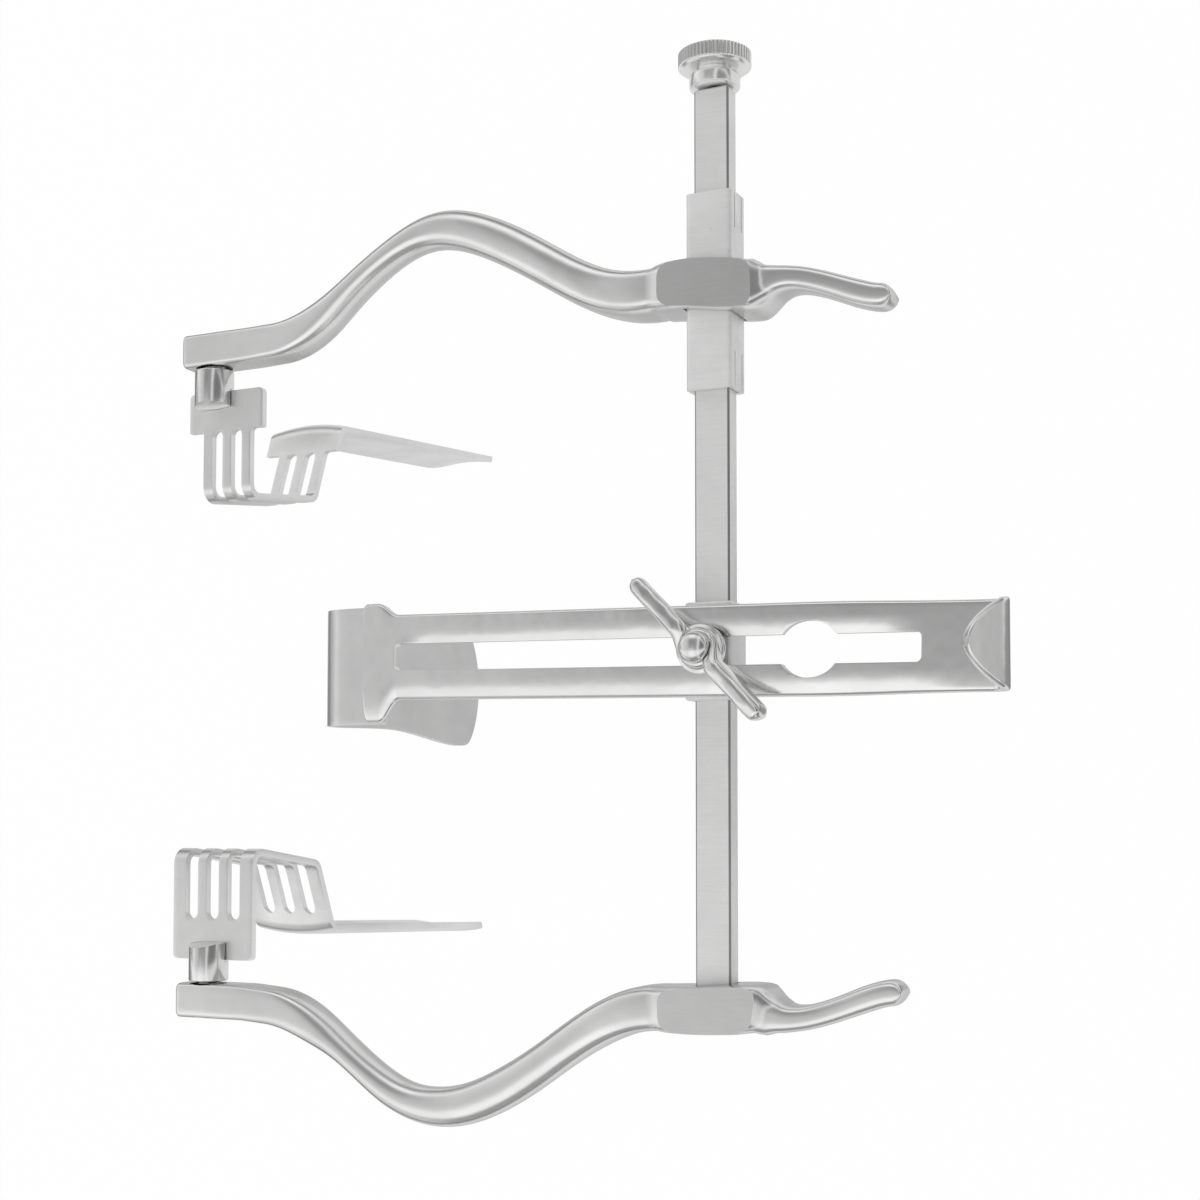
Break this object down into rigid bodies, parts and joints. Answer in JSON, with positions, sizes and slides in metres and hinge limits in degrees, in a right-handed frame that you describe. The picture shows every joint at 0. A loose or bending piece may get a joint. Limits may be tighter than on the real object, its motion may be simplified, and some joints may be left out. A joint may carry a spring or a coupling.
{
  "type": "self-retaining bladder retractor",
  "caption": "Steel frame retractor: a bar with a fixed and a sliding arm, forked swivelling side blades, and a slotted centre blade clamped by a wing nut.",
  "frame": {"origin": "on the clamp stud's axis, at the height of the arms' front faces, where the wound and the hands hold the frame level", "axes": "+Y along the cross bar towards its knob, +X from the lateral blades to the finger handles, +Z out of the wound"},
  "size_m": [0.1834, 0.2065, 0.1221],
  "materials": {
    "brushed_steel": "fine matte grain",
    "satin_steel": "satin",
    "polished_steel": "polished"
  },
  "bodies": {
    "frame": {"cross_bar": "brushed_steel", "fixed_arm": "satin_steel"},
    "knob": {"end_knob": "polished_steel"},
    "slider": {"sliding_arm": "satin_steel", "slide_sleeve": "brushed_steel"},
    "upper_blade": {"upper_blade_pin": "polished_steel", "upper_lateral_blade": "satin_steel"},
    "lower_blade": {"lower_blade_pin": "polished_steel", "lower_lateral_blade": "satin_steel"},
    "carrier": {"blade_carrier": "brushed_steel", "clamp_stud": "polished_steel"},
    "swivel_washer": {"clamp_washer": "polished_steel"},
    "centre_blade": {"centre_blade_shank": "satin_steel", "centre_blade_tongue": "satin_steel"},
    "nut": {"wing_nut": "polished_steel"}
  },
  "joints": [
    {"name": "arm_slide", "type": "slide", "parent": "frame", "child": "slider", "axis": [0, 1, 0], "range_m": [-0.008, 0.02]},
    {"name": "upper_blade_swivel", "type": "hinge", "parent": "slider", "child": "upper_blade", "pos_m": [-0.1168, 0.0613, -0.0041], "axis": [0, 1, 0], "range_deg": [-60, 60]},
    {"name": "lower_blade_swivel", "type": "hinge", "parent": "frame", "child": "lower_blade", "pos_m": [-0.1168, -0.0613, -0.0041], "axis": [0, 1, 0], "range_deg": [-60, 60]},
    {"name": "carrier_slide", "type": "slide", "parent": "frame", "child": "carrier", "axis": [0, 1, 0], "range_m": [-0.012, 0.006]},
    {"name": "blade_swivel", "type": "hinge", "parent": "carrier", "child": "swivel_washer", "pos_m": [0, 0, 0], "axis": [0, 0, 1], "range_deg": [-2.5, 2.5]},
    {"name": "blade_slide", "type": "slide", "parent": "swivel_washer", "child": "centre_blade", "axis": [0.9998, -0.0209, 0], "range_m": [-0.03, 0.045]},
    {"name": "nut_turn", "type": "hinge", "parent": "carrier", "child": "nut", "pos_m": [0, 0, 0], "axis": [0, 0, 1], "range_deg": [-30, 360]},
    {"name": "knob_turn", "type": "hinge", "parent": "frame", "child": "knob", "pos_m": [0, 0.1075, -0.0042], "axis": [0, 1, 0], "range_deg": [-30, 360]}
  ]
}
